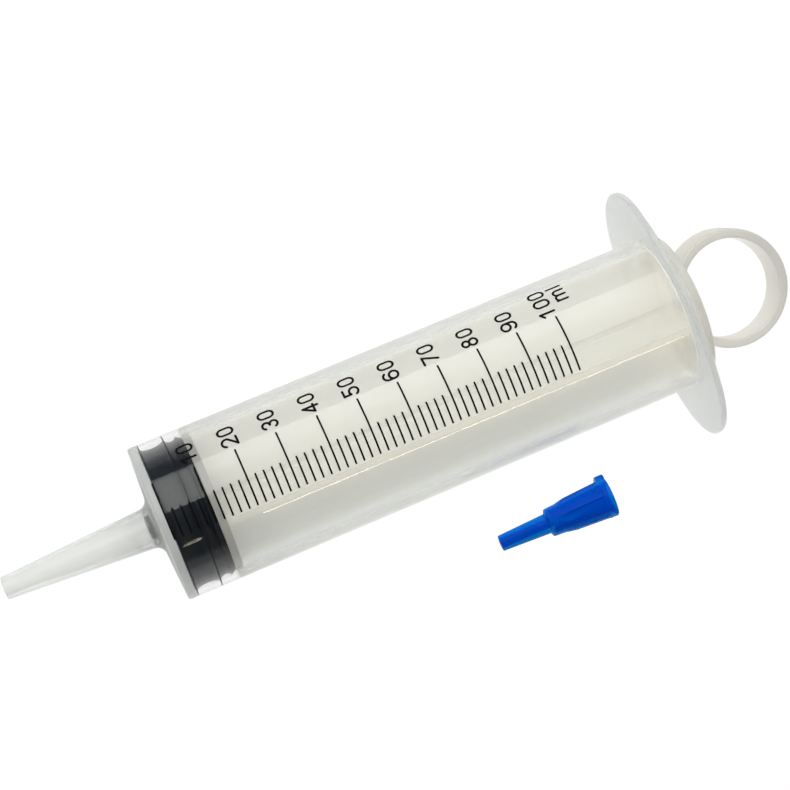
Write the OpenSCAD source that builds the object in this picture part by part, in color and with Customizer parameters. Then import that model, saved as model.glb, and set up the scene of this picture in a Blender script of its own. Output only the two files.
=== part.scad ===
// Catheter tip syringe with a printed scale, a ring plunger and a loose cone adapter.
// The axis runs along +X, from the middle of the tip's mouth at the origin to the thumb ring.
// +Z is up, and the ears of the finger flange lie along Y. All lengths are in millimetres.
// The plunger is shown pushed fully in, with the stopper's front edge at the zero mark.

/* [Barrel] */
// Inside diameter of the barrel
bore_d = 35.5; // [32:0.5:38]
// Wall of the barrel
barrel_wall = 1.25; // [1:0.05:1.6]
// Barrel between the last mark and the flange
rear_run = 28.7; // [20:0.5:45]
// Thickness of the front wall
front_wall = 1.6; // [1.2:0.1:2.2]
// How far the shallow front cone rises from the barrel's edge to the tip
front_rise = 0.75; // [0.4:0.05:1.2]
// Rounding of the barrel's front edge
front_round = 0.6; // [0.3:0.1:0.9]
// Rounding inside the barrel's front corner and at its open mouth
bore_round = 0.3; // [0.1:0.05:0.4]

/* [Catheter tip] */
// Length of the tip, from its mouth to the front cone
tip_length = 37.4; // [30:0.2:45]
// Outside diameter at the tip's mouth
tip_mouth_d = 5.4; // [5:0.1:6]
// Outside diameter where the taper meets the front cone
tip_root_d = 9.95; // [9:0.05:11]
// Wall of the tip at its mouth
tip_mouth_wall = 1.2; // [0.9:0.05:1.4]
// Wall of the tip at its root
tip_root_wall = 1.3; // [1:0.05:1.6]
// Straight stretch of the passage behind the mouth
tip_land = 6; // [3:0.5:10]
// Rounding of the mouth's outer edge
tip_edge = 0.5; // [0.2:0.05:0.8]
// Fillet between the tip and the front cone
tip_fillet = 2.3; // [1:0.1:3]

/* [Finger flange] */
// Thickness of the flange
flange_t = 1.5; // [1.2:0.1:2.4]
// Reach of each ear beyond the barrel
ear_reach = 12.95; // [9:0.05:17]
// Reach of the flange above and below the barrel
flange_lip = 2.4; // [2.1:0.1:3]
// Radius of the ears' round ends
ear_radius = 17.2; // [14:0.2:18.5]
// Rounding of the flange's edge
flange_edge = 0.6; // [0.3:0.05:0.7]
// Fillet between the barrel and the flange
flange_fillet = 0.6; // [0.3:0.1:1]

/* [Scale] */
// Travel of the stopper for 10 ml, which is 10 000 cubic mm over the area of the bore
ten_ml = 10.1; // [9:0.05:12]
// Number of numbered marks after zero
tens = 10; // [5:1:12]
// Width of every line
line_w = 0.45; // [0.25:0.01:0.6]
// Thickness of the ink
ink_t = 0.05; // [0.03:0.01:0.1]
// Angle from the top at which every line ends on the low side
line_low = -22.5; // [-30:0.5:-15]
// Angle from the top at which the short lines end
short_high = -1.3; // [-8:0.1:5]
// Angle from the top at which the long lines end
long_high = 20.3; // [12:0.1:25]
// Angle from the line's end to the first numeral
numeral_start = 2.8; // [1:0.1:5]
// Height of the numerals
numeral_h = 4.2; // [3:0.1:5.5]
// Width of a numeral
numeral_w = 2.75; // [2:0.05:3.2]
// Gap between two numerals
numeral_gap = 0.7; // [0.4:0.05:1]
// Width of the numerals' strokes
stroke_w = 0.58; // [0.3:0.02:0.7]
// How far the first number's middle stands ahead of its line
numeral_lead = 0.3; // [0:0.05:1.5]
// How much further ahead each next number stands
numeral_creep = 0.07; // [0:0.01:0.2]
// How much further ahead a number of three stands
three_lead = 0.45; // [0:0.05:1]
// Share of one numeral's place by which a number of three starts early
early_share = 0.25; // [0:0.01:0.5]
// Height of the tall letter of the unit mark
unit_h = 4; // [2.5:0.1:4.5]
// Width of the first letter of the unit mark
unit_w = 4.1; // [3:0.1:5.5]
// Height of the first letter as a share of the tall one
unit_low_share = 0.75; // [0.5:0.05:0.9]
// Angle from the long line's end to the unit mark
unit_start = 10.3; // [4:0.1:14]
// Gap between the last numeral's foot and the unit mark
unit_gap = 0.55; // [0.3:0.05:3]
// Gap between the two letters of the unit mark
unit_space = 1.05; // [0.5:0.05:2]

/* [Stopper] */
// Running gap between the stopper's ribs and the bore
stopper_slip = 0.05; // [0.02:0.01:0.1]
// Gap left between the stopper and the front wall
front_gap = 0.4; // [0.2:0.05:0.8]
// Length of the stopper, from its front edge to its open back
stopper_length = 10.6; // [9:0.1:14]
// Width of the front and middle ribs
rib_w = 0.7; // [0.4:0.05:1]
// Width of the faint rear rib
rear_rib_w = 0.45; // [0.3:0.05:0.8]
// Depth of the front groove
groove_depth = 0.75; // [0.3:0.05:1]
// Depth of the rear groove
rear_groove_depth = 0.85; // [0.5:0.05:1.2]
// How far the rear rib stays below the other two
rear_rib_drop = 0.25; // [0:0.05:0.4]
// Middle rib, from the front edge to the rib's middle
mid_rib_at = 6.4; // [4.5:0.1:7]
// Rear rib, from the front edge to the rib's middle
rear_rib_at = 9.55; // [8.2:0.05:10]
// Length of the nose that reaches into the tip's root
nose_length = 4.4; // [2:0.1:6]
// Gap between the nose and the root of the passage
nose_gap = 0.7; // [0.5:0.05:1.2]
// Rounding of the nose
nose_round = 0.8; // [0.2:0.1:1.2]
// Thickness of the stopper's front
crown_t = 2.8; // [2:0.1:3.5]
// Thickness of the lip that holds the plunger's head
lip_t = 2.4; // [1.5:0.1:3]
// Side wall of the stopper around the head
skirt_t = 3.8; // [2.5:0.1:5]
// How far the lip reaches in over the head
lip_reach = 2; // [1:0.1:3]

/* [Plunger] */
// Running gap between the plunger's head and the stopper
head_slip = 0.05; // [0.02:0.01:0.1]
// Thickness of the disc behind the stopper
disc_t = 1.8; // [1.2:0.1:3]
// Gap between the disc and the bore
disc_gap = 0.6; // [0.3:0.05:1.2]
// Gap between the ribs and the bore
rod_gap = 1.25; // [0.6:0.05:3]
// Thickness of the rod's ribs at their edges
rod_edge_t = 1.4; // [1:0.1:2.4]
// Thickness of the rod's ribs at the middle
rod_root_t = 2.2; // [1.4:0.1:3.2]
// Fillet where two ribs meet
rod_fillet = 1.2; // [0.4:0.1:2]
// Rounding of the ribs' corners at the thumb plate
rod_corner = 3; // [1:0.5:6]
// Gap between the flange and the thumb plate
plate_gap = 1.3; // [0.6:0.1:4]
// Diameter of the thumb plate
plate_d = 37.2; // [36.6:0.2:42]
// Thickness of the thumb plate
plate_t = 2; // [1.6:0.1:3]
// Rounding of the thumb plate's edge
plate_edge = 0.6; // [0.2:0.05:0.75]

/* [Thumb ring] */
// Inside diameter of the ring
ring_hole_d = 24.5; // [20:0.5:28]
// Wall of the ring
ring_wall = 2.3; // [2:0.1:3.2]
// Width of the ring's band
ring_band = 9.2; // [6:0.2:12]
// Rounding of the band's edges
ring_edge = 0.7; // [0.3:0.05:0.9]
// Turn of the ring from the flange's ears
ring_turn = 19; // [-180:1:180]
// Turn of the rod's ribs from the ring
rib_lead = 9.5; // [-45:0.5:45]

/* [Adapter] */
// Length of the tapered nose
luer_length = 12.5; // [9:0.1:15]
// Diameter at the nose's end
luer_end_d = 4; // [3.9:0.01:4.1]
// Diameter at the nose's root
luer_root_d = 5.1; // [4.6:0.05:5.4]
// Diameter of the passage through the nose
luer_bore_d = 2.2; // [1.5:0.1:2.6]
// Length of the body, from the step to the rim
hub_length = 15; // [12:0.1:18]
// Wall of the body round its socket
hub_wall = 0.85; // [0.6:0.05:1.2]
// Thickness between the nose's root and the socket
hub_floor = 1.2; // [0.8:0.1:2]
// Step down from the body to its nose, along the axis
hub_step = 0.5; // [0.2:0.05:0.8]
// Number of ribs along the body
hub_ribs = 8; // [6:1:10]
// Width of the body's ribs
hub_rib_w = 1.3; // [0.8:0.1:1.6]
// Height of the body's ribs
hub_rib_h = 0.32; // [0.15:0.01:0.6]
// Plain stretch of body before the ribs begin
hub_plain = 3.8; // [2:0.1:6]
// Length of the ribs' ramp
hub_ramp = 2.4; // [1:0.1:4]
// Thickness of the rim
rim_t = 2.3; // [1.6:0.1:3]
// Reach of the rim beyond the body's ribs
rim_reach = 0.13; // [0.1:0.01:0.8]
// Reach of the rim's lug beyond the rim
lug_reach = 1; // [0.5:0.05:1.5]
// Width of the rim's lug
lug_w = 5; // [3:0.1:7]
// Rounding of the adapter's outer edges
adapter_edge = 0.4; // [0.2:0.05:0.6]
// Gap between a fitted catheter tip and the socket's floor
socket_gap = 0.5; // [0.3:0.1:1.5]
// Distance of the rim from the front of the flange, along the syringe
adapter_back = 26.7; // [5:0.1:60]
// Distance between the barrel's side and the adapter's axis
adapter_aside = 15.7; // [10:0.1:40]
// Heading of the adapter from the syringe's axis
adapter_heading = -0.5; // [-10:0.5:10]
// Turn of the adapter about its own axis
adapter_turn = 12; // [0:1:44]

/* [Hidden] */

$fn = 96;
arc_steps = 6;
overrun = 1;
collar_share = 0.85;
full_turn = 360;

// Colours
clear_plastic = [0.86, 0.87, 0.82];
plunger_plastic = [0.80, 0.80, 0.75];
ink_black = [0.05, 0.05, 0.05];
rubber_black = [0.10, 0.11, 0.13];
adapter_blue = [0.03, 0.30, 0.78];

// Radii of the barrel and its tip
bore_r = bore_d / 2;
barrel_r = bore_r + barrel_wall;
tip_mouth_r = tip_mouth_d / 2;
tip_root_r = tip_root_d / 2;
passage_r = tip_mouth_r - tip_mouth_wall;
passage_root_r = tip_root_r - tip_root_wall;

// Stations along the axis
cone_slope = front_rise / (barrel_r - tip_root_r);
front_x = tip_length + front_rise;
inside_x = front_x + front_wall;
zero_x = inside_x + front_gap;
flange_x = zero_x + tens * ten_ml + rear_run;
barrel_end_x = flange_x + flange_t;
disc_x = zero_x + stopper_length + head_slip;
rod_x = disc_x + disc_t;
plate_x = barrel_end_x + plate_gap;
plate_end_x = plate_x + plate_t;

// Flange outline: two round ends and two long arcs that meet them without a corner
flange_half = barrel_r + ear_reach;
flange_half_h = barrel_r + flange_lip;
ear_centre = flange_half - ear_radius;
side_radius = (pow(ear_centre, 2) + pow(flange_half_h, 2) - pow(ear_radius, 2))
    / (2 * (flange_half_h - ear_radius));
side_centre = side_radius - flange_half_h;
meet_angle = atan2(ear_centre, side_centre);
flange_strip = 2 * flange_edge + flange_lip / 2;
collar_reach = collar_share * (flange_lip - flange_edge);

// Scale
mark_step = ten_ml / 5;
glyph_w = numeral_w - stroke_w;
glyph_h = numeral_h - stroke_w;
unit_arch = (unit_w - stroke_w) / 4;

// Stopper and the plunger's head
stopper_r = bore_r - stopper_slip;
nose_r = passage_root_r - nose_gap;
cavity_r = stopper_r - skirt_t;
lip_r = cavity_r - lip_reach;
groove_ramp = rib_w / 2;
disc_r = bore_r - disc_gap;
rod_r = bore_r - rod_gap;

// Thumb plate and ring
plate_r = plate_d / 2;
ring_hole_r = ring_hole_d / 2;
ring_r = ring_hole_r + ring_wall;
ring_x = plate_x + ring_r;

// Adapter: its socket has the taper of the catheter tip
tip_taper = (tip_root_r - tip_mouth_r) / tip_length;
adapter_length = luer_length + hub_length + rim_t;
socket_length = hub_length + rim_t - hub_floor;
socket_floor_r = tip_mouth_r + tip_taper * socket_gap;
socket_mouth_r = socket_floor_r + tip_taper * socket_length;
hub_start_r = socket_floor_r + hub_wall;
hub_end_r = hub_start_r + tip_taper * hub_length;
rim_r = hub_end_r + hub_rib_h + rim_reach;
rim_edge = min(adapter_edge, (rim_r - hub_end_r) / 2);
luer_end_r = luer_end_d / 2;

// The table under the lying syringe touches the barrel's front edge and the flange
rest_run = flange_x + flange_t / 2 - front_x - front_round;
rest_angle = atan2(flange_lip, rest_run);
adapter_x = flange_x - adapter_back;
adapter_y = -barrel_r - adapter_aside;
table_z = -flange_half_h + (flange_x + flange_t / 2 - adapter_x) * tan(rest_angle);
rim_contact = luer_length + hub_length + rim_edge;
adapter_lean = atan2(rim_r - luer_end_r, rim_contact - adapter_edge);
rim_height = rim_r * cos(adapter_lean) + (adapter_length - rim_contact) * sin(adapter_lean);

// A point [x, r] of a profile may carry a rounding as its third value
function flat(p) = [p[0], p[1]];
function unit(v) = v / norm(v);
function turned_by(v, a) = [v[0] * cos(a) - v[1] * sin(a), v[0] * sin(a) + v[1] * cos(a)];
function corner_arc(before, corner, after, radius) =
    let (u = unit(before - corner),
         w = unit(after - corner),
         half = acos(u * w) / 2,
         centre = corner + unit(u + w) * radius / sin(half),
         from = corner + u * radius / tan(half) - centre,
         to = corner + w * radius / tan(half) - centre,
         sweep = atan2(from[0] * to[1] - from[1] * to[0], from * to))
    [for (i = [0:arc_steps]) centre + turned_by(from, sweep * i / arc_steps)];
function rounded(p) =
    let (n = len(p))
    [for (i = [0:n - 1])
        each is_undef(p[i][2]) ? [flat(p[i])]
            : corner_arc(flat(p[(i + n - 1) % n]), flat(p[i]), flat(p[(i + 1) % n]), p[i][2])];

// Solid of revolution about the X axis from a profile of [x, r] points
module turned(profile) {
    rotate([0, 90, 0])
        rotate_extrude()
            polygon([for (p = rounded(profile)) [p[1], p[0]]]);
}

module round_bore(x, length, radius) {
    translate([x, 0, 0])
        rotate([0, 90, 0])
            cylinder(h = length, r = radius);
}

// Barrel

module barrel_shell() {
    collar_r = barrel_r + collar_reach;
    turned([
        [0, passage_r],
        [tip_land, passage_r],
        [inside_x - cone_slope * (bore_r - passage_root_r), passage_root_r],
        [inside_x, bore_r, bore_round],
        [barrel_end_x, bore_r, bore_round],
        [barrel_end_x, collar_r],
        [flange_x, collar_r],
        [flange_x, barrel_r, flange_fillet],
        [front_x, barrel_r, front_round],
        [tip_length, tip_root_r, tip_fillet],
        [0, tip_mouth_r, tip_edge]
    ]);
}

// One strip of the flange's rounded edge, swept about the centre of its arc
module edge_strip(radius, middle, half_span) {
    rotate([0, 0, middle - half_span])
        rotate_extrude(angle = 2 * half_span)
            polygon(rounded([
                [radius - flange_strip, 0],
                [radius, 0, flange_edge],
                [radius, flange_t, flange_edge],
                [radius - flange_strip, flange_t]
            ]));
}

function arc_points(centre, radius, middle, half_span) =
    [for (i = [0:4 * arc_steps])
        centre + radius * [cos(middle - half_span + half_span * i / (2 * arc_steps)),
                           sin(middle - half_span + half_span * i / (2 * arc_steps))]];

module flange_plate() {
    inset = flange_strip / 2;
    end_span = 90 - meet_angle;
    linear_extrude(flange_t)
        polygon(concat(
            arc_points([-side_centre, 0], side_radius - inset, 0, meet_angle),
            arc_points([0, ear_centre], ear_radius - inset, 90, end_span),
            arc_points([side_centre, 0], side_radius - inset, 180, meet_angle),
            arc_points([0, -ear_centre], ear_radius - inset, 270, end_span)));
    for (side = [0, 180])
        rotate([0, 0, side]) {
            translate([-side_centre, 0, 0])
                edge_strip(side_radius, 0, meet_angle);
            translate([0, ear_centre, 0])
                edge_strip(ear_radius, 90, end_span);
        }
}

module barrel() {
    color(clear_plastic) {
        barrel_shell();
        difference() {
            translate([flange_x, 0, 0])
                rotate([0, 90, 0])
                    flange_plate();
            round_bore(flange_x - overrun, flange_t + 2 * overrun, barrel_r + collar_reach / 2);
        }
    }
}

// Printed scale

module line_on_barrel(x, low, high) {
    rotate([0, 90, 0])
        rotate([0, 0, 180 - high])
            translate([0, 0, x - line_w / 2])
                rotate_extrude(angle = high - low)
                    translate([barrel_r, 0])
                        square([ink_t, line_w]);
}

module long_lines() {
    color(ink_black)
        for (i = [0:tens])
            line_on_barrel(zero_x + i * ten_ml, line_low, long_high);
}

module short_lines() {
    color(ink_black)
        for (i = [0:tens - 1], j = [1:4])
            line_on_barrel(zero_x + i * ten_ml + j * mark_step, line_low, short_high);
}

// Strokes of the numerals, as thin prisms that stand on the XY plane

module bar(from, to) {
    run = to - from;
    translate(from)
        rotate([0, 0, atan2(run[1], run[0])])
            translate([0, -stroke_w / 2, 0])
                cube([norm(run), stroke_w, ink_t]);
    for (end = [from, to])
        translate(end)
            cylinder(h = ink_t, r = stroke_w / 2);
}

module bow(centre, radius, from, to) {
    translate(centre)
        rotate([0, 0, from])
            rotate_extrude(angle = to - from)
                translate([radius - stroke_w / 2, 0])
                    square([stroke_w, ink_t]);
    if (to - from < full_turn)
        for (a = [from, to])
            translate(centre + radius * [cos(a), sin(a)])
                cylinder(h = ink_t, r = stroke_w / 2);
}

// Numerals are drawn by the middle of their strokes, in a box of w by h
module numeral(n, w, h) {
    r = w / 2;
    if (n == "0") {
        bow([r, r], r, 180, 360);
        bow([r, h - r], r, 0, 180);
        for (x = [0, w])
            bar([x, r], [x, h - r]);
    }
    if (n == "1") {
        stem_share = 0.62;
        flag_share = 0.78;
        bar([stem_share * w, 0], [stem_share * w, h]);
        bar([stem_share * w, h], [stem_share * w / 4, flag_share * h]);
    }
    if (n == "2") {
        hook = 165;
        slope = -35;
        bow([r, h - r], r, slope, hook);
        bar([r + r * cos(slope), h - r + r * sin(slope)], [0, 0]);
        bar([0, 0], [w, 0]);
    }
    if (n == "3") {
        hook = 160;
        bow([w - h / 4, h / 4], h / 4, -hook, 90);
        bow([w - h / 4, h * 3 / 4], h / 4, -90, hook);
    }
    if (n == "4") {
        stem_share = 0.74;
        cross_share = 0.28;
        bar([stem_share * w, 0], [stem_share * w, h]);
        bar([stem_share * w, h], [0, cross_share * h]);
        bar([0, cross_share * h], [w, cross_share * h]);
    }
    if (n == "5") {
        back_share = 0.14;
        hook = 155;
        shoulder = 130;
        bow([r, r], r, -hook, shoulder);
        bar([r + r * cos(shoulder), r + r * sin(shoulder)], [back_share * w, h]);
        bar([back_share * w, h], [w - back_share * w / 2, h]);
    }
    if (n == "6") {
        hook = 30;
        bow([r, r], r, 0, full_turn);
        bar([0, r], [0, h - r]);
        bow([r, h - r], r, hook, 180);
    }
    if (n == "7") {
        foot_share = 0.28;
        bar([0, h], [w, h]);
        bar([w, h], [foot_share * w, 0]);
    }
    if (n == "8") {
        low_share = 0.265;
        low_r = low_share * h;
        high_r = h / 2 - low_r;
        bow([r, low_r], low_r, 0, full_turn);
        bow([r, h - high_r], high_r, 0, full_turn);
    }
    if (n == "9") {
        translate([w, h])
            rotate([0, 0, 180])
                numeral("6", w, h);
    }
}

// Lays a drawing on the barrel: its foot at x, its middle at an angle from the top
module inked(x, angle) {
    rotate([-angle, 0, 0])
        translate([x, 0, barrel_r])
            rotate([0, 0, 90])
                children();
}

function arc_angle(length) = length / barrel_r * 180 / PI;
function digits(i) = str(10 * i);
function of_three(i) = len(digits(i)) > 2;
function number_foot(i) = zero_x + i * ten_ml + numeral_h / 2 - stroke_w / 2
    - numeral_lead - numeral_creep * (i - 1) - (of_three(i) ? three_lead : 0);

module numerals() {
    advance = arc_angle(numeral_w + numeral_gap);
    color(ink_black)
        for (i = [1:tens]) {
            start = of_three(i) ? -early_share * advance : 0;
            for (k = [0:len(digits(i)) - 1])
                inked(number_foot(i),
                      long_high + numeral_start + arc_angle(numeral_w / 2) + start + k * advance)
                    translate([-glyph_w / 2, 0, 0])
                        numeral(digits(i)[k], glyph_w, glyph_h);
        }
}

module unit_mark() {
    foot = number_foot(tens) + unit_gap + unit_h;
    tall_h = unit_h - stroke_w;
    low_h = unit_low_share * tall_h;
    first = long_high + unit_start + arc_angle(stroke_w / 2 + unit_arch);
    last = first + arc_angle(3 * unit_arch + unit_space + stroke_w);
    color(ink_black) {
        inked(foot, first)
            bar([-unit_arch, 0], [-unit_arch, low_h]);
        for (k = [0, 1])
            inked(foot, first + k * arc_angle(2 * unit_arch)) {
                bow([0, low_h - unit_arch], unit_arch, 0, 180);
                bar([unit_arch, 0], [unit_arch, low_h - unit_arch]);
            }
        inked(foot, last)
            bar([0, 0], [0, tall_h]);
    }
}

// Stopper

module stopper() {
    groove_r = stopper_r - groove_depth;
    rear_groove_r = stopper_r - rear_groove_depth;
    rear_rib_r = stopper_r - rear_rib_drop;
    mid_x = zero_x + mid_rib_at;
    rear_x = zero_x + rear_rib_at;
    back_x = zero_x + stopper_length;
    nose_x = zero_x - nose_length;
    color(rubber_black)
        turned([
            [nose_x, 0],
            [nose_x, nose_r, nose_round],
            [zero_x - cone_slope * (stopper_r - nose_r), nose_r],
            [zero_x, stopper_r],
            [zero_x + rib_w, stopper_r],
            [zero_x + rib_w + groove_ramp, groove_r],
            [mid_x - rib_w / 2 - groove_ramp, groove_r],
            [mid_x - rib_w / 2, stopper_r],
            [mid_x + rib_w / 2, stopper_r],
            [mid_x + rib_w / 2 + groove_ramp, rear_groove_r],
            [rear_x - rear_rib_w / 2 - groove_ramp, rear_groove_r],
            [rear_x - rear_rib_w / 2, rear_rib_r],
            [rear_x + rear_rib_w / 2, rear_rib_r],
            [back_x, rear_groove_r],
            [back_x, lip_r],
            [back_x - lip_t, lip_r],
            [back_x - lip_t, cavity_r],
            [zero_x + crown_t, cavity_r],
            [zero_x + crown_t, 0]
        ]);
}

// Plunger

module plunger_head() {
    head_r = cavity_r - head_slip;
    neck_r = lip_r - head_slip;
    head_x = zero_x + crown_t + head_slip;
    head_back_x = zero_x + stopper_length - lip_t - head_slip;
    turned([
        [head_x, 0],
        [head_x, head_r],
        [head_back_x, head_r],
        [head_back_x, neck_r],
        [disc_x, neck_r],
        [disc_x, disc_r],
        [rod_x, disc_r],
        [rod_x, 0]
    ]);
}

// The quarter between two ribs' middles, with its fillet, laid four times round the axis
module rod_section() {
    middle = rod_root_t / 2;
    for (a = [0:90:270])
        rotate([0, 0, a])
            polygon(rounded([
                [0, 0],
                [0, rod_r],
                [rod_edge_t / 2, rod_r],
                [middle, middle, rod_fillet],
                [rod_r, rod_edge_t / 2],
                [rod_r, 0]
            ]));
}

module plunger_rod() {
    length = plate_x + plate_t / 2 - rod_x + disc_t / 2;
    intersection() {
        turned([
            [rod_x - disc_t / 2, 0],
            [rod_x - disc_t / 2, rod_r],
            [plate_x, rod_r, rod_corner],
            [plate_x, rod_r - 2 * rod_corner],
            [plate_x + plate_t / 2, rod_r - 2 * rod_corner],
            [plate_x + plate_t / 2, 0]
        ]);
        translate([rod_x - disc_t / 2, 0, 0])
            rotate([0, 90, 0])
                linear_extrude(length)
                    rod_section();
    }
}

module thumb_plate() {
    turned([
        [plate_x, 0],
        [plate_x, plate_r, plate_edge],
        [plate_end_x, plate_r, plate_edge],
        [plate_end_x, 0]
    ]);
}

module thumb_ring() {
    half = ring_band / 2;
    translate([ring_x, 0, 0])
        rotate_extrude()
            polygon(rounded([
                [ring_hole_r, -half, ring_edge],
                [ring_r, -half, ring_edge],
                [ring_r, half, ring_edge],
                [ring_hole_r, half, ring_edge]
            ]));
}

module plunger() {
    color(plunger_plastic) {
        plunger_head();
        rotate([ring_turn + rib_lead, 0, 0])
            plunger_rod();
        thumb_plate();
        rotate([ring_turn, 0, 0])
            thumb_ring();
    }
}

// Adapter, drawn along +X from the end of its nose to its rim

module adapter_shell() {
    turned([
        [0, luer_bore_d / 2],
        [luer_length + hub_floor, luer_bore_d / 2],
        [luer_length + hub_floor, socket_floor_r],
        [adapter_length, socket_mouth_r],
        [adapter_length, rim_r, adapter_edge],
        [luer_length + hub_length, rim_r, rim_edge],
        [luer_length + hub_length, hub_end_r],
        [luer_length + hub_step, hub_start_r, adapter_edge],
        [luer_length, luer_root_d / 2],
        [0, luer_end_r, adapter_edge]
    ]);
}

module adapter_rib() {
    start = luer_length + hub_plain;
    end = luer_length + hub_length + rim_t / 2;
    sunk = hub_wall / 2;
    at_start = hub_start_r + tip_taper * hub_plain;
    at_ramp = at_start + tip_taper * hub_ramp;
    at_end = at_start + tip_taper * (end - start);
    translate([0, hub_rib_w / 2, 0])
        rotate([90, 0, 0])
            linear_extrude(hub_rib_w)
                polygon([
                    [start, at_start - sunk],
                    [start, at_start],
                    [start + hub_ramp, at_ramp + hub_rib_h],
                    [end, at_end + hub_rib_h],
                    [end, at_end - sunk]
                ]);
}

// A lug that stands out from one side of the rim
module adapter_lug() {
    lug_r = rim_r + lug_reach;
    lug_root = rim_r - hub_wall / 2;
    rim_x = luer_length + hub_length;
    intersection() {
        turned([
            [rim_x, lug_root],
            [rim_x, lug_r, adapter_edge],
            [adapter_length, lug_r, adapter_edge],
            [adapter_length, lug_root]
        ]);
        translate([rim_x - overrun, -lug_w / 2, 0])
            cube([rim_t + 2 * overrun, lug_w, lug_r + overrun]);
    }
}

module adapter() {
    lug_side = 270;
    color(adapter_blue)
        translate([adapter_x, adapter_y, table_z + rim_height])
            rotate([0, rest_angle - adapter_lean, adapter_heading])
                translate([-adapter_length, 0, 0])
                    rotate([-adapter_turn, 0, 0]) {
                        adapter_shell();
                        rotate([lug_side, 0, 0])
                            adapter_lug();
                        for (i = [0:hub_ribs - 1])
                            rotate([i * full_turn / hub_ribs, 0, 0])
                                adapter_rib();
                    }
}

barrel();
long_lines();
short_lines();
numerals();
unit_mark();
stopper();
plunger();
adapter();
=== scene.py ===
"""Looks of the catheter tip syringe: its plastics, rubber and print, on a plain white table."""

import math

import bmesh
import bpy
from bpy.props import FloatProperty, FloatVectorProperty, PointerProperty
from mathutils import Matrix, Vector


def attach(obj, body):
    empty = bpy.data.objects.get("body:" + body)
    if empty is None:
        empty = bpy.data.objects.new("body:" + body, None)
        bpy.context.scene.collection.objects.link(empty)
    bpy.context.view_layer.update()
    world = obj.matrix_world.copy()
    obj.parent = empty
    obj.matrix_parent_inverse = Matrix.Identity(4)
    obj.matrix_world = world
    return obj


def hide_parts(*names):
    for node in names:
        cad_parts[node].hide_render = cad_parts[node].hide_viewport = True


bl_info = {
    "name": "Catheter tip syringe",
    "version": (1, 0, 0),
    "blender": (4, 5, 0),
    "location": "3D View > Sidebar > Syringe",
    "description": "Finishes the pieces of a catheter tip syringe and sets them on a white table",
    "category": "Object",
}

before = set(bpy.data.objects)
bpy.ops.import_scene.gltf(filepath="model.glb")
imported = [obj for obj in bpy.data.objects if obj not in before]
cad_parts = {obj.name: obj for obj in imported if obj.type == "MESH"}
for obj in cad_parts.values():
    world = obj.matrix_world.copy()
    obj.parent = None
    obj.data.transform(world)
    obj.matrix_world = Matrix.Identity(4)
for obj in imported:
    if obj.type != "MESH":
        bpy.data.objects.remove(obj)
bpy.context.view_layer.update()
MM = 0.001


# Sizes of the barrel, in millimetres: places along the axis from the tip's mouth, and radii

TIP_LENGTH = 37.4
TIP_MOUTH_R, TIP_ROOT_R = 2.7, 4.975
PASSAGE_STRAIGHT = 6.0
PASSAGE_MOUTH_R, PASSAGE_ROOT_R = 1.5, 3.675
FRONT_X, INSIDE_X = 38.15, 39.75
BARREL_R, BORE_R = 19.0, 17.75
FLANGE_X, BARREL_END_X = 169.85, 171.35
FLANGE_HALF_H = 21.4
EAR_CENTRE, EAR_RADIUS = 14.75, 17.2
MOUTH_ROUND, TIP_ROOT_ROUND, BORE_ROUND = 0.5, 2.3, 0.3
BARREL_TURNS = 384


# Sizes of the stopper, in millimetres: places along the axis from the scale's zero, and radii

ZERO_X = 40.15
NOSE_END, NOSE_ROOT, CONE_RIM = -4.4, -0.75, -0.05
FIRST_RIB, SECOND_RIB, THIRD_RIB = (0.2, 0.55), (6.2, 6.5), 9.3
FIRST_GROOVE, SECOND_GROOVE = 0.75, 0.85
HOLLOW_FLOOR, LIP_FRONT, STOPPER_BACK = 2.8, 8.2, 10.6
CENTRE_R = 0.4
NOSE_R, NOSE_ROUND = PASSAGE_ROOT_R - 0.7, 0.8
CONE_RIM_R = BORE_R - 0.4
THIRD_RIB_R = BORE_R - 0.25
BACK_R = BORE_R - 1.1
LIP_R, HOLLOW_R = 11.9, 13.9
GROOVE_STEPS = 12
STOPPER_TURNS = 144

# The two tight ribs press a little into the bore's wall, so that no gap shows there
RIB_R = BORE_R + 0.02


# Looks of the plastics

# Refractive indices. Polypropylene has 1.49. The clear looks have less, for weaker reflections.
MILK_INDEX = 1.49
BARREL_INDEX = 1.33
PLUNGER_INDEX = 1.25
ADAPTER_INDEX = 1.12

# The milky look's share that light shines through, and the adapter's share that looks deep
MILK_SHINE = 0.5
ADAPTER_DEPTH = 0.45

# Colours of the adapter's deep look, and how much paler the specks in the ink are
DEEP_BLUE, CLEAR_BLUE = (0.0, 0.42, 0.92), (0.0, 0.52, 1.0)
INK_SPECK = 0.004

# Seen edge on: how far the surface has turned away where a change begins and is full, and
# how much haze and what share of the tint there are then
HAZE_TURN, EDGE_HAZE = (0.36, 0.85), 0.9
TINT_TURN, EDGE_TINT = (0.35, 0.8), 0.92

# Where the haze grows along the axis, from and to in millimetres, and by how much
FRONT_WALL_HAZE = (40.3, 39.9, 0.93)
TIP_ROOT_HAZE = (37.8, 37.3, -0.65)
TIP_HAZE = (36.0, 30.0, 0.2)
FLANGE_HAZE = (169.3, 170.0, 0.6)
THUMB_PLATE_HAZE = (170.0, 172.8, 0.4)

# Other stretches of the axis, from and to in millimetres: the share of the edges' haze over
# the stopper, the roughness behind it that blurs the rod, and the share of the disc's colours
# that is left under a painted shade where the disc sits against the dark stopper
CRISP_OVER_STOPPER = (40.2, 51.0, 0.12)
BLUR_BEHIND_STOPPER = (50.0, 51.0, 0.24)
DISC_PAINTED_SHADE = (50.8, 52.6, 0.45)

# How far beyond a stretch's ends its look fades out, in millimetres
SOFT_EDGE = 0.2

# The radii, in millimetres, between which the bore's blur fades out
BORE_SKIN = (BORE_R + 0.2, BARREL_R - 0.4)


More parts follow.
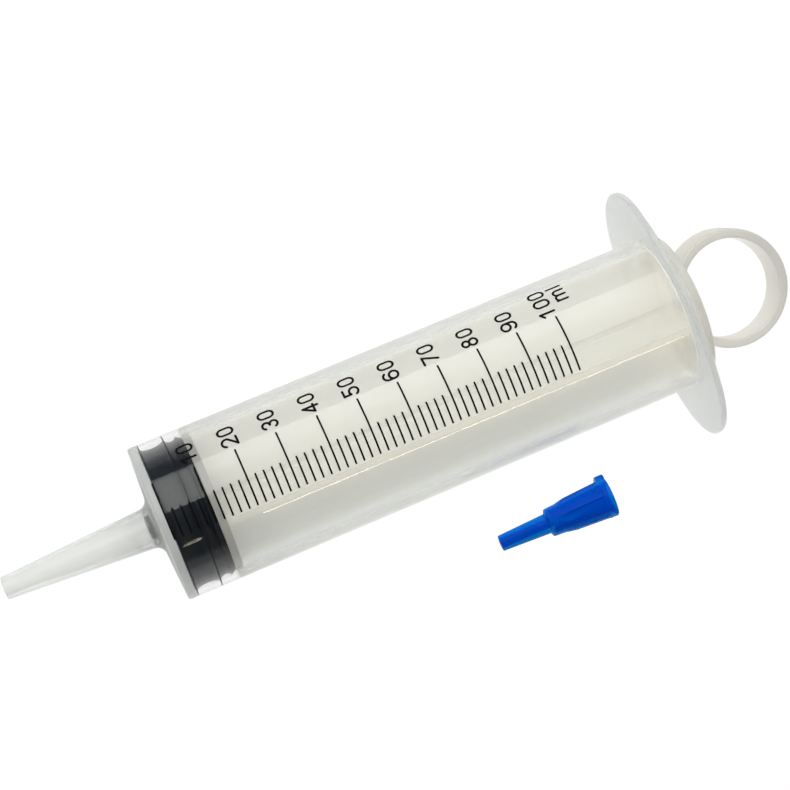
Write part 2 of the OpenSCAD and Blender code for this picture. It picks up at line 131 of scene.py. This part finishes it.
# The stage, in metres

# The table passes under the flange and the barrel's front edge, and has a low wall all round
FLANGE_REST = Vector(((FLANGE_X + BARREL_END_X) / 2, 0, -FLANGE_HALF_H)) * MM
TABLE_GAP = 0.05 * MM
TABLE_TILT = math.radians(1.043)
TABLE_RADIUS, TABLE_FLAT, TABLE_WALL = 2.0, 1.8, 0.5

# Its glow near the syringe and far from it, and the distances between which it changes
TABLE_NEAR = (1.02, 1.02, 1.02)
TABLE_FAR = (0.5, 0.52, 0.55)
TABLE_FADE = (0.35, 1.1)

# The shade under the barrel: where it begins and is full, and where it fades and is gone
TABLE_SHADE = (0.62, 0.68, 0.74)
SHADE_X = (-0.132, -0.122), (-0.006, 0.0)
SHADE_Y = (-0.018, -0.014), (-0.006, 0.004)

# The glint is a short piece of the strip, with this part of its power
GLINT_PART = 1 / 48
SOFT_WHITE = (1.0, 1.0, 0.98)
WARM_WHITE = (1.0, 0.85, 0.62)
ROOM_COLOUR = (0.6, 0.8, 1.0)

# The photograph's viewpoint, in the syringe's own frame; the sensor is in millimetres
CAMERA_AT = Vector((32.8, -66.5, 459.8)) * MM
CAMERA_RIGHT = Vector((0.91359, -0.40000, 0.07316))
CAMERA_UP = Vector((0.37936, 0.90318, 0.20088))
CAMERA_BACK = Vector((-0.14643, -0.15577, 0.97688))
SENSOR_WIDTH = 36
CLIP_NEAR, CLIP_FAR = 0.01, 20


# Shader sockets


class Value:
    """A shader value: Python's operators on it add Math nodes."""

    def __init__(self, finish, socket):
        self.finish = finish
        self.socket = socket

    def math(self, operation, first, second):
        """A Math node's result. Either value may be a plain number."""
        return self.finish.add(
            "ShaderNodeMath", {"operation": operation}, {0: first, 1: second}
        )[0]

    def __add__(self, other):
        return self.math("ADD", self, other)

    def __radd__(self, other):
        return self.math("ADD", other, self)

    def __sub__(self, other):
        return self.math("SUBTRACT", self, other)

    def __rsub__(self, other):
        return self.math("SUBTRACT", other, self)

    def __mul__(self, other):
        return self.math("MULTIPLY", self, other)

    def __rmul__(self, other):
        return self.math("MULTIPLY", other, self)


class Finish:
    """One material and its nodes, all made through the method add."""

    def __init__(self, name):
        self.material = bpy.data.materials.new(name)
        self.material.use_nodes = True
        self.tree = self.material.node_tree
        self.tree.nodes.clear()

    def add(self, kind, settings=None, values=None):
        """Adds a node: settings come first, then its sockets' values or links."""
        node = self.tree.nodes.new(kind)
        for name, setting in (settings or {}).items():
            setattr(node, name, setting)
        for key, value in (values or {}).items():
            if isinstance(value, Value):
                self.tree.links.new(value.socket, node.inputs[key])
            else:
                node.inputs[key].default_value = value
        return [Value(self, s) for s in node.outputs if s.enabled]

    def place(self):
        """The point's place in its piece's own frame, in metres: the CAD's, on the syringe."""
        return self.add("ShaderNodeTexCoord")[3]

    def along(self):
        """Distance along the syringe's axis, in metres."""
        return self.add("ShaderNodeSeparateXYZ", {}, {0: self.place()})[0]

    def out(self):
        """Distance out from the syringe's axis, in metres."""
        across = self.add(
            "ShaderNodeVectorMath",
            {"operation": "MULTIPLY"},
            {0: self.place(), 1: (0.0, 1.0, 1.0)},
        )[0]
        return self.add("ShaderNodeVectorMath", {"operation": "LENGTH"}, {0: across})[0]

    def facing(self):
        """0 where the surface faces the eye, 1 where it is seen edge on."""
        return self.add("ShaderNodeLayerWeight", {}, {"Blend": 0.5})[1]

    def noise(self, scale, detail=2.0, roughness=0.5, squeeze=(1, 1, 1)):
        """An uneven pattern of 0..1, drawn out along the axes whose squeeze is below 1."""
        spot = self.add(
            "ShaderNodeMapping",
            {"vector_type": "POINT"},
            {"Vector": self.place(), "Scale": squeeze},
        )[0]
        return self.add(
            "ShaderNodeTexNoise",
            {},
            {"Vector": spot, "Scale": scale, "Detail": detail, "Roughness": roughness},
        )[0]

    @staticmethod
    def spread(value, low, high):
        """Maps 0..1 onto low..high."""
        return value * (high - low) + low

    def rise(self, value, start, end):
        """Goes smoothly from 0 at start to 1 at end, upwards or downwards."""
        return self.add(
            "ShaderNodeMapRange",
            {"interpolation_type": "SMOOTHSTEP"},
            {0: value, 1: start, 2: end, 3: 0.0, 4: 1.0},
        )[0]

    def between(self, value, begin, fade):
        """0, then 1 from the end of begin to the start of fade, then 0 again."""
        return self.rise(value, *begin) * (1.0 - self.rise(value, *fade))

    def within(self, start, end):
        """1 between two places along the syringe's axis, in millimetres, and 0 outside."""
        begin = ((start - SOFT_EDGE) * MM, start * MM)
        return self.between(self.along(), begin, (end * MM, (end + SOFT_EDGE) * MM))

    def blend(self, factor, a, b):
        """A colour between two colours, which may be made by nodes."""
        ends = [c if isinstance(c, Value) else (*c, 1.0) for c in (a, b)]
        return self.add(
            "ShaderNodeMix", {"data_type": "RGBA"}, {0: factor, 6: ends[0], 7: ends[1]}
        )[0]

    def bump(self, height, strength, distance):
        """A surface direction that follows a height, for the Normal socket."""
        return self.add(
            "ShaderNodeBump",
            {},
            {"Height": height, "Strength": strength, "Distance": distance},
        )[0]

    def principled(self, values):
        """A Principled shader with these sockets' values or links."""
        return self.add("ShaderNodeBsdfPrincipled", {}, values)[0]

    def mixed(self, share, first, second):
        """Two shaders in one, the second by its share."""
        return self.add("ShaderNodeMixShader", {}, {0: share, 1: first, 2: second})[0]

    def unless_lamp(self, shader, tint):
        """The same shader, which lets the lamps' light through with a tint."""
        through = self.add("ShaderNodeBsdfTransparent", {}, {0: (*tint, 1.0)})[0]
        lamp_ray = self.add("ShaderNodeLightPath")[1]
        return self.mixed(lamp_ray, shader, through)

    def surface(self, shader):
        """Puts the shader on the material's surface and gives back the material."""
        self.add("ShaderNodeOutputMaterial", {}, {"Surface": shader})
        return self.material


def scaled(colour, share):
    """A colour at a share of its brightness."""
    return [c * share for c in colour]


def dress(node, material):
    """Puts one material on a CAD node."""
    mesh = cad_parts[node].data
    mesh.materials.clear()
    mesh.materials.append(material)


# Turned shapes


def corner_arc(before, corner, after, radius, steps=6):
    """Points of the arc that rounds one corner of a profile."""
    u = (before - corner).normalized()
    w = (after - corner).normalized()
    half = u.angle(w) / 2
    centre = corner + (u + w).normalized() * (radius / math.sin(half))
    start = corner + u * (radius / math.tan(half)) - centre
    end = corner + w * (radius / math.tan(half)) - centre
    sweep = math.atan2(start.x * end.y - start.y * end.x, start.dot(end))
    return [centre + Matrix.Rotation(sweep * i / steps, 2) @ start for i in range(steps + 1)]


def rounded(profile):
    """The points of a profile of (x, r) and (x, r, rounding), the latter rounded off."""
    points = []
    for i, corner in enumerate(profile):
        here = Vector(corner[:2])
        if len(corner) < 3:
            points.append(here)
        else:
            before = Vector(profile[i - 1][:2])
            after = Vector(profile[(i + 1) % len(profile)][:2])
            points += corner_arc(before, here, after, corner[2])
    return points


def turned(name, profile, turns, closed=True):
    """A piece turned about the syringe's axis from points (x, r), in millimetres.

    A point may be (x, d, reach): there r is reach(angle) + d.
    A profile that isn't closed gets a flat face at each end.
    """
    verts, faces = [], []
    for point in profile:
        for k in range(turns):
            a = 2 * math.pi * k / turns
            r = point[1] + (point[2](a) if len(point) > 2 else 0.0)
            verts.append(Vector((point[0], r * math.cos(a), r * math.sin(a))) * MM)
    rows = len(profile)
    for i in range(rows if closed else rows - 1):
        for k in range(turns):
            low, high = i * turns, ((i + 1) % rows) * turns
            n = (k + 1) % turns
            faces.append((low + k, low + n, high + n, high + k))
    if not closed:
        faces.append(tuple(range(turns))[::-1])
        faces.append(tuple((rows - 1) * turns + k for k in range(turns)))
    mesh = bpy.data.meshes.new(name)
    mesh.from_pydata(verts, [], faces)
    return shown(name, mesh)


def shown(name, mesh, smooth_to=35):
    """A piece made of a mesh: faces outwards, smooth where they turn by less than smooth_to."""
    shape = bmesh.new()
    shape.from_mesh(mesh)
    bmesh.ops.recalc_face_normals(shape, faces=shape.faces)
    shape.to_mesh(mesh)
    shape.free()
    for p in mesh.polygons:
        p.use_smooth = True
    mesh.set_sharp_from_angle(angle=math.radians(smooth_to))
    piece = bpy.data.objects.new(name, mesh)
    bpy.context.scene.collection.objects.link(piece)
    even = piece.modifiers.new("Even shading", "WEIGHTED_NORMAL")
    even.keep_sharp = True
    even.weight = 100
    return piece


def flange_reach(angle):
    """How far the finger flange reaches from the axis, at an angle from +Y.

    Its two ears are arcs about EAR_CENTRE, and two flatter arcs join them above and below.
    """
    side_radius = (EAR_CENTRE**2 + FLANGE_HALF_H**2 - EAR_RADIUS**2) / (
        2 * (FLANGE_HALF_H - EAR_RADIUS)
    )
    side_centre = side_radius - FLANGE_HALF_H
    meet = math.atan2(EAR_CENTRE, side_centre)
    ear_end = math.atan2(
        side_radius * math.cos(meet) - side_centre, side_radius * math.sin(meet)
    )
    y, z = abs(math.cos(angle)), abs(math.sin(angle))
    if math.atan2(z, y) < ear_end:
        return EAR_CENTRE * y + math.sqrt(EAR_RADIUS**2 - (EAR_CENTRE * z) ** 2)
    return -side_centre * z + math.sqrt(side_radius**2 - (side_centre * y) ** 2)


def barrel_profile(corner):
    """The barrel's outline: its outside from the flange to the mouth, its bore, its flange.

    corner is the radius, in millimetres, of the corners outside.
    """
    slope = (FRONT_X - TIP_LENGTH) / (BARREL_R - TIP_ROOT_R)
    cone_start = INSIDE_X - slope * (BORE_R - PASSAGE_ROOT_R)
    # Each list's first and last points only aim the roundings beside them, and are dropped
    side = rounded(
        [
            (FLANGE_X, BARREL_R + 1),
            (FLANGE_X, BARREL_R, corner),
            (FRONT_X, BARREL_R, corner),
            (TIP_LENGTH, TIP_ROOT_R, TIP_ROOT_ROUND),
            (0, TIP_MOUTH_R, MOUTH_ROUND),
            (0, PASSAGE_MOUTH_R),
            (PASSAGE_STRAIGHT, PASSAGE_MOUTH_R),
            (cone_start, PASSAGE_ROOT_R),
            (INSIDE_X, BORE_R, BORE_ROUND),
            (BARREL_END_X, BORE_R, BORE_ROUND),
            (BARREL_END_X, BARREL_R + 1),
        ]
    )[1:-1]
    edge = rounded(
        [
            (BARREL_END_X, -1),
            (BARREL_END_X, 0, corner),
            (FLANGE_X, 0, corner),
            (FLANGE_X, -1),
        ]
    )[1:-1]
    return [tuple(p) for p in side] + [(*p, flange_reach) for p in edge]


def groove(start, end, depth, end_r):
    """Points of a soft groove that starts at a tight rib and ends at a rib of radius end_r."""
    points = []
    for i in range(1, GROOVE_STEPS):
        u = i / GROOVE_STEPS
        brim = RIB_R + (end_r - RIB_R) * u
        dip = depth * math.sqrt(math.sin(math.pi * u))
        points.append((start + (end - start) * u, brim - dip))
    return [*points, (end, end_r)]


def stopper_profile():
    """The stopper's outline, from the middle of its nose to the middle of its hollow back."""
    outline = [
        (NOSE_END, CENTRE_R),
        (NOSE_END, NOSE_R, NOSE_ROUND),
        (NOSE_ROOT, NOSE_R),
        (CONE_RIM, CONE_RIM_R),
        (FIRST_RIB[0], RIB_R),
        (FIRST_RIB[1], RIB_R),
        *groove(FIRST_RIB[1], SECOND_RIB[0], FIRST_GROOVE, RIB_R),
        (SECOND_RIB[1], RIB_R),
        *groove(SECOND_RIB[1], THIRD_RIB, SECOND_GROOVE, THIRD_RIB_R),
        (STOPPER_BACK, BACK_R),
        (STOPPER_BACK, LIP_R),
        (LIP_FRONT, LIP_R),
        (LIP_FRONT, HOLLOW_R),
        (HOLLOW_FLOOR, HOLLOW_R),
        (HOLLOW_FLOOR, CENTRE_R),
    ]
    return rounded([(ZERO_X + x, *rest) for x, *rest in outline])


# Finishes


def clear_polypropylene(
    name, tint, milk, haze, index, roughness, zones, crisp=None, blur=None, painted_shade=None
):
    """Clear moulded plastic that turns milky where it is seen edge on or is thick.

    tint is its colour where light goes through it, and milk its colour where it is milky.
    haze is how milky it is everywhere, and index its refractive index.
    Each stretch is (start, end, amount), in millimetres along the axis.
    zones: the haze grows by the amount from start to end, and keeps it beyond the end.
    crisp: between start and end only this share of the haze shows edge on.
    blur: the bore's wall grows rougher by the amount from start to end, and blurs the rod.
    painted_shade: between start and end only this share of the colours shows, a painted shade.
    """
    f = Finish(name)
    x = f.along()
    flow = f.noise(scale=60, detail=3.0, roughness=0.55, squeeze=(0.25, 1, 1))
    grain = f.noise(scale=900, roughness=0.6)
    mottle = f.noise(scale=260, detail=3.0, roughness=0.6)
    cloud = f.rise(f.facing(), *HAZE_TURN) * EDGE_HAZE
    if crisp:
        start, end, share = crisp
        cloud = cloud * (1.0 - f.within(start, end) * (1.0 - share))
    cloud = cloud + haze
    relief = 0.0
    for start, end, more in zones:
        zone = f.rise(x, start * MM, end * MM)
        cloud = cloud + zone * more
        relief = zone * mottle + relief
    rough = f.spread(grain, roughness * 0.8, roughness * 1.3)
    if blur:
        start, end, more = blur
        bore_wall = 1.0 - f.rise(f.out(), *(r * MM for r in BORE_SKIN))
        rough = rough + bore_wall * f.rise(x, start * MM, end * MM) * more
    edge_on = f.rise(f.facing(), *TINT_TURN)
    clear_colour = f.blend(flow, scaled(tint, 0.98), tint)
    clear_colour = f.blend(edge_on, clear_colour, scaled(tint, EDGE_TINT))
    milk_colour = f.blend(mottle, scaled(milk, 0.96), milk)
    # Painted shade: over this stretch the clear and milky colours are darkened to this share.
    if painted_shade:
        start, end, share = painted_shade
        disc = f.within(start, end)
        clear_colour = f.blend(disc, clear_colour, scaled(tint, share))
        milk_colour = f.blend(disc, milk_colour, scaled(milk, share))
    clear = f.principled(
        {
            "Base Color": clear_colour,
            "Roughness": rough,
            "IOR": index,
            "Transmission Weight": 1.0,
        }
    )
    milky = f.principled(
        {
            "Base Color": milk_colour,
            "Roughness": f.spread(grain, 0.25, 0.4),
            "IOR": MILK_INDEX,
            "Normal": f.bump(relief, strength=0.25, distance=0.4 * MM),
        }
    )
    shine = f.add("ShaderNodeBsdfTranslucent", {}, {0: (*tint, 1.0)})[0]
    milky = f.mixed(MILK_SHINE, milky, shine)
    body = f.mixed(cloud * f.spread(flow, 0.9, 1.1), clear, milky)
    return f.surface(f.unless_lamp(body, tint))


def printing_ink(name, colour):
    """Flat printing ink with fine paler specks."""
    f = Finish(name)
    speck = f.noise(scale=2500, detail=3.0, roughness=0.7)
    ink = f.principled(
        {
            "Base Color": f.blend(speck, colour, [c + INK_SPECK for c in colour]),
            "Roughness": f.spread(speck, 0.4, 0.6),
            "Specular IOR Level": 0.05,
        }
    )
    return f.surface(f.unless_lamp(ink, (1.0, 1.0, 1.0)))


def stopper_rubber(name, colour):
    """Dark moulded rubber, cloudy and finely grained."""
    f = Finish(name)
    grain = f.noise(scale=1200, detail=3.0, roughness=0.6)
    cloud = f.noise(scale=90)
    rubber = f.principled(
        {
            "Base Color": f.blend(cloud, colour, scaled(colour, 1.5)),
            "Roughness": f.spread(grain, 0.3, 0.5),
            "Specular IOR Level": 0.2,
            "Normal": f.bump(grain, strength=0.15, distance=0.2 * MM),
        }
    )
    return f.surface(rubber)


def moulded_blue(name, colour):
    """Blue plastic that light enters: part solid colour, part a deep clear blue."""
    f = Finish(name)
    grain = f.noise(scale=1500, roughness=0.6)
    cloud = f.noise(scale=200, detail=3.0)
    solid = f.principled(
        {
            "Base Color": f.blend(cloud, scaled(colour, 0.85), colour),
            "Roughness": f.spread(grain, 0.3, 0.45),
            "Specular IOR Level": 0.02,
            "Normal": f.bump(grain, strength=0.1, distance=0.2 * MM),
        }
    )
    deep = f.principled(
        {
            "Base Color": f.blend(cloud, DEEP_BLUE, CLEAR_BLUE),
            "Roughness": f.spread(grain, 0.1, 0.2),
            "IOR": ADAPTER_INDEX,
            "Transmission Weight": 1.0,
        }
    )
    return f.surface(f.mixed(ADAPTER_DEPTH, solid, deep))


def table_white(name, near, far, shade):
    """A white that glows evenly round the syringe and dims under it and towards the far edge.

    The table's own origin lies under the middle of the flange.
    """
    f = Finish(name)
    spot = f.place()
    away = f.add("ShaderNodeVectorMath", {"operation": "LENGTH"}, {0: spot})[0]
    x, y, _ = f.add("ShaderNodeSeparateXYZ", {}, {0: spot})
    under = f.between(x, *SHADE_X) * f.between(y, *SHADE_Y)
    glow = f.blend(f.rise(away, *TABLE_FADE), f.blend(under, near, shade), far)
    white = f.principled(
        {
            "Base Color": (0.0, 0.0, 0.0, 1.0),
            "Roughness": 1.0,
            "Specular IOR Level": 0.0,
            "Emission Color": glow,
            "Emission Strength": 1.0,
        }
    )
    return f.surface(white)


# Settings


class SyringeClearSettings(bpy.types.PropertyGroup):
    """The clear plastics of the barrel and the plunger."""

    barrel_tint: FloatVectorProperty(
        name="Barrel tint",
        description="Colour that light takes through the barrel's plastic",
        subtype="COLOR",
        size=3,
        min=0,
        max=1,
        default=(0.946, 0.953, 0.943),
    )
    barrel_milk: FloatVectorProperty(
        name="Barrel milk",
        description="Colour of the barrel's plastic where it is milky",
        subtype="COLOR",
        size=3,
        min=0,
        max=1,
        default=(0.7, 0.71, 0.695),
    )
    barrel_haze: FloatProperty(
        name="Barrel haze",
        description="Milkiness of the barrel's plastic",
        subtype="FACTOR",
        min=0,
        max=1,
        default=0.001,
    )
    plunger_tint: FloatVectorProperty(
        name="Plunger tint",
        description="Colour that light takes through the plunger's plastic",
        subtype="COLOR",
        size=3,
        min=0,
        max=1,
        default=(0.88, 0.87, 0.85),
    )
    plunger_milk: FloatVectorProperty(
        name="Plunger milk",
        description="Colour of the plunger's plastic where it is milky",
        subtype="COLOR",
        size=3,
        min=0,
        max=1,
        default=(0.69, 0.68, 0.635),
    )
    plunger_haze: FloatProperty(
        name="Plunger haze",
        description="Milkiness of the plunger's plastic",
        subtype="FACTOR",
        min=0,
        max=1,
        default=0.45,
    )
    corner_rounding: FloatProperty(
        name="Corner rounding",
        description="Radius of the corners outside on the barrel and its flange",
        unit="LENGTH",
        precision=5,
        min=0.1 * MM,
        max=0.7 * MM,
        default=0.6 * MM,
    )


class SyringeSolidSettings(bpy.types.PropertyGroup):
    """The colours of the print, the stopper and the adapter."""

    ink: FloatVectorProperty(
        name="Ink",
        description="Colour of the printed scale",
        subtype="COLOR",
        size=3,
        min=0,
        max=1,
        default=(0.001, 0.001, 0.0015),
    )
    rubber: FloatVectorProperty(
        name="Rubber",
        description="Colour of the stopper",
        subtype="COLOR",
        size=3,
        min=0,
        max=1,
        default=(0.0015, 0.0025, 0.005),
    )
    blue: FloatVectorProperty(
        name="Adapter",
        description="Colour of the loose adapter",
        subtype="COLOR",
        size=3,
        min=0,
        max=1,
        default=(0.0, 0.09, 0.7),
    )


class SyringeStageSettings(bpy.types.PropertyGroup):
    """The camera's lens and the brightness of the lights."""

    lens: FloatProperty(
        name="Lens",
        description="Focal length of the camera, in millimetres",
        unit="CAMERA",
        min=20,
        max=200,
        default=89.8,
    )
    softbox_power: FloatProperty(
        name="Softbox",
        description="Power of the large light above, in watts",
        unit="POWER",
        min=0,
        default=7.5,
    )
    strip_power: FloatProperty(
        name="Strip",
        description="Power of the narrow warm light in front, in watts",
        unit="POWER",
        min=0,
        default=0.157,
    )
    room: FloatProperty(
        name="Room",
        description="Brightness of the room around the table",
        min=0,
        default=0.08,
    )


# Pieces


class SYRINGE_OT_barrel(bpy.types.Operator):
    """Makes and finishes the clear barrel with its tip and finger flange."""

    bl_idname = "syringe.barrel"
    bl_label = "Barrel"

    def execute(self, context):
        clear = context.scene.syringe_clear
        corner = clear.corner_rounding / MM
        barrel = turned("Barrel", barrel_profile(corner), BARREL_TURNS)
        barrel.data.materials.append(
            clear_polypropylene(
                "Clear.Plastic",
                tint=list(clear.barrel_tint),
                milk=list(clear.barrel_milk),
                haze=clear.barrel_haze,
                index=BARREL_INDEX,
                roughness=0.02,
                zones=(FRONT_WALL_HAZE, TIP_ROOT_HAZE, TIP_HAZE, FLANGE_HAZE),
                crisp=CRISP_OVER_STOPPER,
                blur=BLUR_BEHIND_STOPPER,
            )
        )
        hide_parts("barrel")
        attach(barrel, "barrel")
        return {"FINISHED"}


class SYRINGE_OT_scale(bpy.types.Operator):
    """Finishes the printed lines, numerals and unit mark."""

    bl_idname = "syringe.scale"
    bl_label = "Printed scale"

    def execute(self, context):
        ink = printing_ink("Ink", list(context.scene.syringe_solid.ink))
        for node in ("long_lines", "short_lines", "numerals", "unit_mark"):
            dress(node, ink)
        return {"FINISHED"}


class SYRINGE_OT_stopper(bpy.types.Operator):
    """Makes and finishes the rubber stopper."""

    bl_idname = "syringe.stopper"
    bl_label = "Stopper"

    def execute(self, context):
        rubber = list(context.scene.syringe_solid.rubber)
        stopper = turned("Stopper", stopper_profile(), STOPPER_TURNS, closed=False)
        stopper.data.materials.append(stopper_rubber("Stopper.Rubber", rubber))
        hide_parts("stopper")
        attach(stopper, "stopper")
        return {"FINISHED"}


class SYRINGE_OT_plunger(bpy.types.Operator):
    """Finishes the plunger with its rod, thumb plate and ring."""

    bl_idname = "syringe.plunger"
    bl_label = "Plunger"

    def execute(self, context):
        clear = context.scene.syringe_clear
        plastic = clear_polypropylene(
            "Plunger.Plastic",
            tint=list(clear.plunger_tint),
            milk=list(clear.plunger_milk),
            haze=clear.plunger_haze,
            index=PLUNGER_INDEX,
            roughness=0.04,
            zones=(THUMB_PLATE_HAZE,),
            # The plunger's disc behind the stopper gets a painted shade.
            painted_shade=DISC_PAINTED_SHADE,
        )
        dress("plunger", plastic)
        return {"FINISHED"}


class SYRINGE_OT_adapter(bpy.types.Operator):
    """Finishes the loose blue adapter."""

    bl_idname = "syringe.adapter"
    bl_label = "Adapter"

    def execute(self, context):
        dress("adapter", moulded_blue("Adapter.Blue", list(context.scene.syringe_solid.blue)))
        return {"FINISHED"}


# Stage


def table_mesh(radius, flat, wall, steps=12, turns=96):
    """A round table, flat out to the radius flat, that curves up into a wall beyond it."""
    rows = [(0.0, 0.0), (radius / 2, 0.0), (flat, 0.0)]
    for i in range(1, steps + 1):
        climb = math.pi / 2 * i / steps
        rows.append(
            (flat + (radius - flat) * math.sin(climb), wall * (1 - math.cos(climb)))
        )
    verts = [(0.0, 0.0, 0.0)]
    for r, z in rows[1:]:
        for k in range(turns):
            a = 2 * math.pi * k / turns
            verts.append((r * math.cos(a), r * math.sin(a), z))
    faces = [(0, 1 + k, 1 + (k + 1) % turns) for k in range(turns)]
    for i in range(len(rows) - 2):
        for k in range(turns):
            a, b = 1 + i * turns + k, 1 + i * turns + (k + 1) % turns
            faces.append((a, a + turns, b + turns, b))
    mesh = bpy.data.meshes.new("Table")
    mesh.from_pydata(verts, [], faces)
    for p in mesh.polygons:
        p.use_smooth = True
    return mesh


def lay_table(scene):
    """Puts the table just under the flange and the barrel's front edge."""
    table = bpy.data.objects.new("Table", table_mesh(TABLE_RADIUS, TABLE_FLAT, TABLE_WALL))
    table.data.materials.append(
        table_white("Table.White", TABLE_NEAR, TABLE_FAR, TABLE_SHADE)
    )
    scene.collection.objects.link(table)
    table.rotation_euler = (0, TABLE_TILT, 0)
    table.location = FLANGE_REST - Vector((0, 0, TABLE_GAP))


def aimed(at, towards):
    """A turn whose X stays along the syringe and whose -Z looks at the target."""
    back = (at - towards).normalized()
    side = (Vector((1, 0, 0)) - back * back.x).normalized()
    up = back.cross(side)
    return Matrix((side, up, back)).transposed().to_4x4()


def area_light(scene, name, x, angle, reach, size, colour, power):
    """A rectangular light at a distance from the syringe's axis, which it faces.

    x is its place along the axis, and angle is its turn from straight up towards +Y.
    """
    turn = math.radians(angle)
    at = Vector((x, reach * math.sin(turn), reach * math.cos(turn)))
    light = bpy.data.lights.new(name, "AREA")
    light.shape = "RECTANGLE"
    light.size, light.size_y = size
    light.color = colour
    light.energy = power
    lamp = bpy.data.objects.new(name, light)
    scene.collection.objects.link(lamp)
    lamp.matrix_world = Matrix.Translation(at) @ aimed(at, Vector((x, 0, 0)))


def hang_lights(scene, softbox, strip):
    """The soft light above, the warm strip in front and its glint over the stopper."""
    area_light(
        scene,
        "Softbox",
        x=0.19,
        angle=28.0,
        reach=0.75,
        size=(1.2, 0.72),
        colour=SOFT_WHITE,
        power=softbox,
    )
    for name, x, length, power in (
        ("Strip", 0.2, 0.23, strip),
        ("Glint", 0.0525, 0.008, strip * GLINT_PART),
    ):
        area_light(
            scene,
            name,
            x=x,
            angle=-50.0,
            reach=0.4,
            size=(length, 0.012),
            colour=WARM_WHITE,
            power=power,
        )


def light_room(scene, strength):
    """The even light of the room around the table."""
    world = bpy.data.worlds.new("Room")
    world.use_nodes = True
    background = world.node_tree.nodes["Background"]
    background.inputs["Color"].default_value = (*ROOM_COLOUR, 1.0)
    background.inputs["Strength"].default_value = strength
    scene.world = world


def set_camera(scene, focal_length):
    """The camera at the photograph's viewpoint."""
    lens = bpy.data.cameras.new("Camera")
    lens.lens = focal_length
    lens.sensor_width = SENSOR_WIDTH
    lens.clip_start, lens.clip_end = CLIP_NEAR, CLIP_FAR
    camera = bpy.data.objects.new("Camera", lens)
    scene.collection.objects.link(camera)
    turn = Matrix((CAMERA_RIGHT, CAMERA_UP, CAMERA_BACK)).transposed().to_4x4()
    camera.matrix_world = Matrix.Translation(CAMERA_AT) @ turn
    scene.camera = camera


class SYRINGE_OT_stage(bpy.types.Operator):
    """Makes the table, the lights and the camera."""

    bl_idname = "syringe.stage"
    bl_label = "Stage"

    def execute(self, context):
        scene = context.scene
        stage = scene.syringe_stage
        lay_table(scene)
        hang_lights(scene, stage.softbox_power, stage.strip_power)
        light_room(scene, stage.room)
        set_camera(scene, stage.lens)
        scene.view_settings.view_transform = "Standard"
        return {"FINISHED"}


# Panel


class SYRINGE_PT_panel(bpy.types.Panel):
    """Lists the syringe's pieces and settings."""

    bl_idname = "SYRINGE_PT_panel"
    bl_label = "Catheter tip syringe"
    bl_space_type = "VIEW_3D"
    bl_region_type = "UI"
    bl_category = "Syringe"

    def draw(self, context):
        for operator in OPERATORS:
            self.layout.operator(operator.bl_idname)
        for key, group in SETTINGS.items():
            for name in group.__annotations__:
                self.layout.prop(getattr(context.scene, key), name)


OPERATORS = (
    SYRINGE_OT_barrel,
    SYRINGE_OT_scale,
    SYRINGE_OT_stopper,
    SYRINGE_OT_plunger,
    SYRINGE_OT_adapter,
    SYRINGE_OT_stage,
)
SETTINGS = {
    "syringe_clear": SyringeClearSettings,
    "syringe_solid": SyringeSolidSettings,
    "syringe_stage": SyringeStageSettings,
}
CLASSES = (*SETTINGS.values(), *OPERATORS, SYRINGE_PT_panel)


def register():
    for c in CLASSES:
        bpy.utils.register_class(c)
    for key, group in SETTINGS.items():
        setattr(bpy.types.Scene, key, PointerProperty(type=group))


def unregister():
    for key in SETTINGS:
        delattr(bpy.types.Scene, key)
    for c in reversed(CLASSES):
        bpy.utils.unregister_class(c)


def main():
    register()
    for name in ("barrel", "scale", "stopper", "plunger", "adapter", "stage"):
        getattr(bpy.ops.syringe, name)()


if __name__ == "__main__":
    main()
